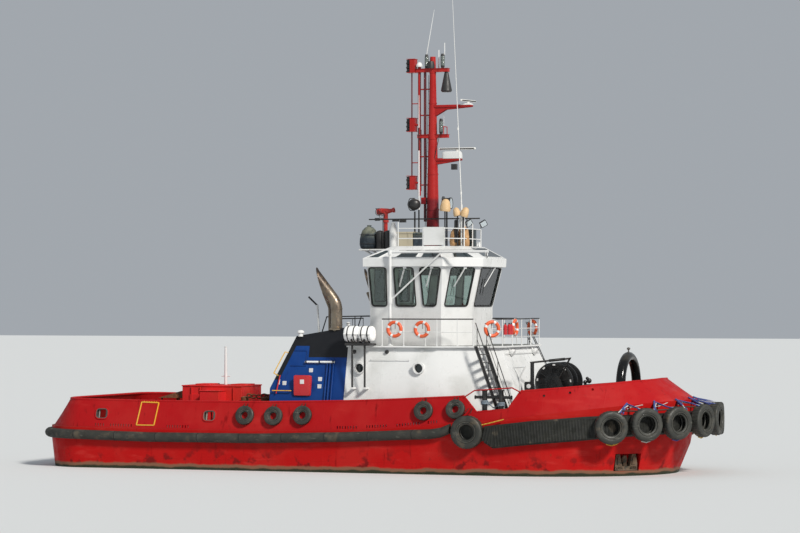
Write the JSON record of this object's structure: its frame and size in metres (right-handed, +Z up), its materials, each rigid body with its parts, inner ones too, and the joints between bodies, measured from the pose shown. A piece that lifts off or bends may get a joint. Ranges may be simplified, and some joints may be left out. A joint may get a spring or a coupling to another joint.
{
  "type": "tugboat",
  "caption": "Harbour tugboat afloat: red hull with rubber fenders and tyres, white deckhouse and wheelhouse, blue funnel casings, mast, towing winch and steerable stern thrusters.",
  "frame": {"origin": "on the centreline amidships, halfway along the length over the fenders, at the waterline", "axes": "+X towards the bow, +Y to port, +Z up"},
  "size_m": [28.958, 10.4806, 24.2805],
  "materials": {
    "hull_paint": "weathered red antifouling and topside paint",
    "bulwark_paint": "satin red paint",
    "fender_rubber": "matt black rubber",
    "tyre_rubber": "worn grey-black tyre rubber",
    "white_paint": "semi-gloss white paint",
    "blue_paint": "semi-gloss blue paint with a black top",
    "exhaust_steel": "heat-stained steel",
    "raft_shell": "glossy white glass-fibre shell",
    "rail_paint": "satin black paint",
    "window_glass": "tinted glass",
    "console_plastic": "matt dark grey",
    "chair_fabric": "dark woven cloth",
    "mast_paint": "semi-gloss red paint",
    "scanner_plastic": "white glass-fibre",
    "lamp_paint": "satin black paint",
    "deck_gear_paint": "satin black paint with worn edges",
    "locker_paint": "satin red paint",
    "anchor_iron": "rusty cast steel",
    "thruster_paint": "dull red antifouling",
    "propeller_bronze": "polished bronze"
  },
  "bodies": {
    "tug": {"hull": "hull_paint", "bulwark_starboard": "bulwark_paint", "bulwark_port": "bulwark_paint", "belt_fender_starboard": "fender_rubber", "belt_fender_port": "fender_rubber", "bow_fender": "fender_rubber", "bow_tyres": "tyre_rubber", "side_tyre_starboard": "tyre_rubber", "side_tyre_port": "tyre_rubber", "bulwark_tyre_starboard_1": "tyre_rubber", "bulwark_tyre_port_1": "tyre_rubber", "bulwark_tyre_starboard_2": "tyre_rubber", "bulwark_tyre_port_2": "tyre_rubber", "bulwark_tyre_starboard_3": "tyre_rubber", "bulwark_tyre_port_3": "tyre_rubber", "bulwark_tyre_starboard_4": "tyre_rubber", "bulwark_tyre_port_4": "tyre_rubber", "bulwark_tyre_starboard_5": "tyre_rubber", "bulwark_tyre_port_5": "tyre_rubber", "deckhouse": "white_paint", "funnel_casing_starboard": "blue_paint", "exhaust_starboard": "exhaust_steel", "funnel_casing_port": "blue_paint", "exhaust_port": "exhaust_steel", "life_raft_starboard": "raft_shell", "life_raft_port": "raft_shell", "bridge_rail_starboard": "rail_paint", "bridge_rail_port": "rail_paint", "bridge_rail_front": "rail_paint", "stair_starboard": "rail_paint", "stair_port": "rail_paint", "wheelhouse": "white_paint", "window_glass": "window_glass", "wheelhouse_roof": "white_paint", "helm_console": "console_plastic", "helm_chair": "chair_fabric", "davit_post": "white_paint", "mast": "mast_paint", "tall_aerial": "scanner_plastic", "searchlight_aft": "lamp_paint", "searchlight_forward": "lamp_paint", "winch_frame": "deck_gear_paint", "towing_staple": "deck_gear_paint", "bitts_starboard": "deck_gear_paint", "bitts_port": "deck_gear_paint", "aft_bitt": "deck_gear_paint", "aft_locker": "locker_paint", "anchor_starboard": "anchor_iron", "anchor_port": "anchor_iron"},
    "deckhouse_door": {"deckhouse_door": "white_paint"},
    "wheelhouse_door": {"wheelhouse_door": "white_paint"},
    "davit_boom": {"davit_boom": "white_paint"},
    "fire_monitor": {"fire_monitor": "mast_paint"},
    "radar_lower": {"radar_lower": "scanner_plastic"},
    "radar_upper": {"radar_upper": "scanner_plastic"},
    "winch_drum": {"winch_drum": "deck_gear_paint"},
    "thruster_starboard": {"thruster_starboard": "thruster_paint"},
    "propeller_starboard": {"propeller_starboard": "propeller_bronze"},
    "thruster_port": {"thruster_port": "thruster_paint"},
    "propeller_port": {"propeller_port": "propeller_bronze"}
  },
  "joints": [
    {"name": "deckhouse_door_swing", "type": "hinge", "parent": "tug", "child": "deckhouse_door", "pos_m": [-0.631, 0.448, 2.93], "axis": [0, 0, -1], "range_deg": [0, 110]},
    {"name": "wheelhouse_door_swing", "type": "hinge", "parent": "tug", "child": "wheelhouse_door", "pos_m": [0.069, 0.448, 6.37], "axis": [0, 0, -1], "range_deg": [0, 110]},
    {"name": "davit_swing", "type": "hinge", "parent": "tug", "child": "davit_boom", "pos_m": [1.24, -3.2, 9.07], "axis": [0, 0, -1], "range_deg": [0, 120]},
    {"name": "monitor_pan", "type": "hinge", "parent": "tug", "child": "fire_monitor", "pos_m": [-0.41, 0.75, 10.5], "axis": [0, 0, 1], "range_deg": [-170, 170]},
    {"name": "radar_lower_spin", "type": "hinge", "parent": "tug", "child": "radar_lower", "pos_m": [3.08, 0, 13.3], "axis": [0, 0, 1], "continuous": true},
    {"name": "radar_upper_spin", "type": "hinge", "parent": "tug", "child": "radar_upper", "pos_m": [3.56, 0, 15.6], "axis": [0, 0, 1], "continuous": true},
    {"name": "winch_turn", "type": "hinge", "parent": "tug", "child": "winch_drum", "pos_m": [7.555, 0, 3.685], "axis": [0, 1, 0], "continuous": true},
    {"name": "thruster_starboard_steer", "type": "hinge", "parent": "tug", "child": "thruster_starboard", "pos_m": [-10.3, -2.4, -1.76], "axis": [0, 0, 1], "continuous": true},
    {"name": "propeller_starboard_turn", "type": "hinge", "parent": "thruster_starboard", "child": "propeller_starboard", "pos_m": [-10.9, -2.4, -3.15], "axis": [1, 0, 0], "continuous": true},
    {"name": "thruster_port_steer", "type": "hinge", "parent": "tug", "child": "thruster_port", "pos_m": [-10.3, 2.4, -1.76], "axis": [0, 0, 1], "continuous": true},
    {"name": "propeller_port_turn", "type": "hinge", "parent": "thruster_port", "child": "propeller_port", "pos_m": [-10.9, 2.4, -3.15], "axis": [1, 0, 0], "continuous": true}
  ]
}
